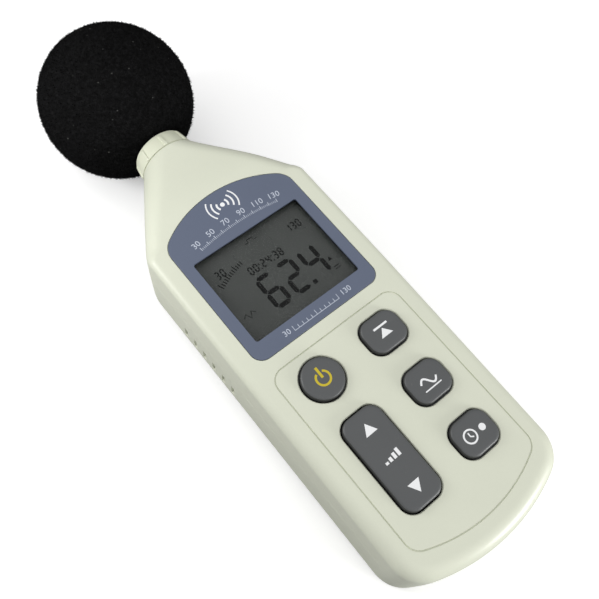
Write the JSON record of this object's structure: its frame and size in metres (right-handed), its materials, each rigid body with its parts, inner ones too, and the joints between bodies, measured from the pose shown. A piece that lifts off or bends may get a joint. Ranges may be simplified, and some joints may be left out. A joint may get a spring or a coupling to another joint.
{
  "type": "sound level meter",
  "caption": "Hand-held sound level meter: cream plastic case with display, rubber keys and a nose that carries a microphone under a round black foam windscreen.",
  "frame": {"origin": "mouth of the tripod socket in the back of the case, behind the centre of the display window", "axes": "+X to the right of the display, +Y towards the microphone, +Z out of the front face; the back of the case lies in the plane z = 0"},
  "size_m": [0.0704, 0.2548, 0.0628],
  "materials": {
    "case_cream": "fine matt texture",
    "overlay_blue": "satin film",
    "window_clear": "clear polished",
    "lcd_cell": "polished",
    "holder_white": "moulded",
    "light_plate": "translucent",
    "strip_rubber": "striped elastomer",
    "mat_rubber": "silicone",
    "key_grey": "fine matt texture",
    "board_green": "solder mask",
    "chip_black": "moulded resin",
    "can_metal": "satin",
    "socket_black": "moulded",
    "trimmer_blue": "moulded",
    "contact_gold": "plated",
    "screw_steel": "zinc plated",
    "collar_cream": "moulded",
    "seal_rubber": "soft",
    "tube_metal": "satin anodised",
    "foam_black": "open cell foam",
    "cell_wrap": "printed film",
    "contact_nickel": "nickel plated",
    "insert_brass": "machined"
  },
  "bodies": {
    "case": {"front_shell": "case_cream", "back_shell": "case_cream", "display_panel": "overlay_blue", "display_window": "window_clear", "lcd_holder": "holder_white", "lcd_glass": "lcd_cell", "backlight_plate": "light_plate", "contact_strips": "strip_rubber", "keypad_mat": "mat_rubber", "main_board": "board_green", "processor_chip": "chip_black", "board_parts": "chip_black", "crystal_can": "can_metal", "output_jack": "socket_black", "power_jack": "socket_black", "usb_socket": "can_metal", "trimmer_body": "trimmer_blue", "board_screws": "screw_steel", "nose_collar": "collar_cream", "tube_seal": "seal_rubber", "microphone_tube": "tube_metal", "microphone_capsule": "can_metal", "microphone_grid": "tube_metal", "preamp_board": "board_green", "board_link": "socket_black", "battery_cell_1": "cell_wrap", "battery_cell_2": "cell_wrap", "battery_cell_3": "cell_wrap", "battery_cell_4": "cell_wrap", "spring_contacts": "contact_nickel", "plate_contacts": "contact_nickel", "tripod_insert": "insert_brass", "case_screws": "screw_steel"},
    "power_key": {"power_key": "key_grey"},
    "peak_key": {"peak_key": "key_grey"},
    "weighting_key": {"weighting_key": "key_grey"},
    "response_key": {"response_key": "key_grey"},
    "level_rocker": {"level_rocker": "key_grey"},
    "windscreen": {"windscreen": "foam_black"},
    "battery_door": {"battery_door": "case_cream"},
    "trimmer_rotor": {"trimmer_rotor": "contact_gold"}
  },
  "joints": [
    {"name": "power_key_press", "type": "slide", "parent": "case", "child": "power_key", "axis": [0, 0, -1], "range_m": [0, 0.0008], "stiffness_N_per_m": 1200},
    {"name": "peak_key_press", "type": "slide", "parent": "case", "child": "peak_key", "axis": [0, 0, -1], "range_m": [0, 0.0008], "stiffness_N_per_m": 1200},
    {"name": "weighting_key_press", "type": "slide", "parent": "case", "child": "weighting_key", "axis": [0, 0, -1], "range_m": [0, 0.0008], "stiffness_N_per_m": 1200},
    {"name": "response_key_press", "type": "slide", "parent": "case", "child": "response_key", "axis": [0, 0, -1], "range_m": [0, 0.0008], "stiffness_N_per_m": 1200},
    {"name": "level_rocker_tilt", "type": "hinge", "parent": "case", "child": "level_rocker", "pos_m": [-0.0133, -0.076, 0.0309], "axis": [1, 0, 0], "range_deg": [-2.5, 2.5], "stiffness_Nm_per_rad": 0.25},
    {"name": "windscreen_pull", "type": "slide", "parent": "case", "child": "windscreen", "axis": [0, 1, 0], "range_m": [0, 0.045]},
    {"name": "battery_door_slide", "type": "slide", "parent": "case", "child": "battery_door", "axis": [0, -1, 0], "range_m": [0, 0.062]},
    {"name": "trimmer_turn", "type": "hinge", "parent": "case", "child": "trimmer_rotor", "pos_m": [0.03, 0.013, 0.0227], "axis": [1, 0, 0], "range_deg": [-120, 120]}
  ]
}
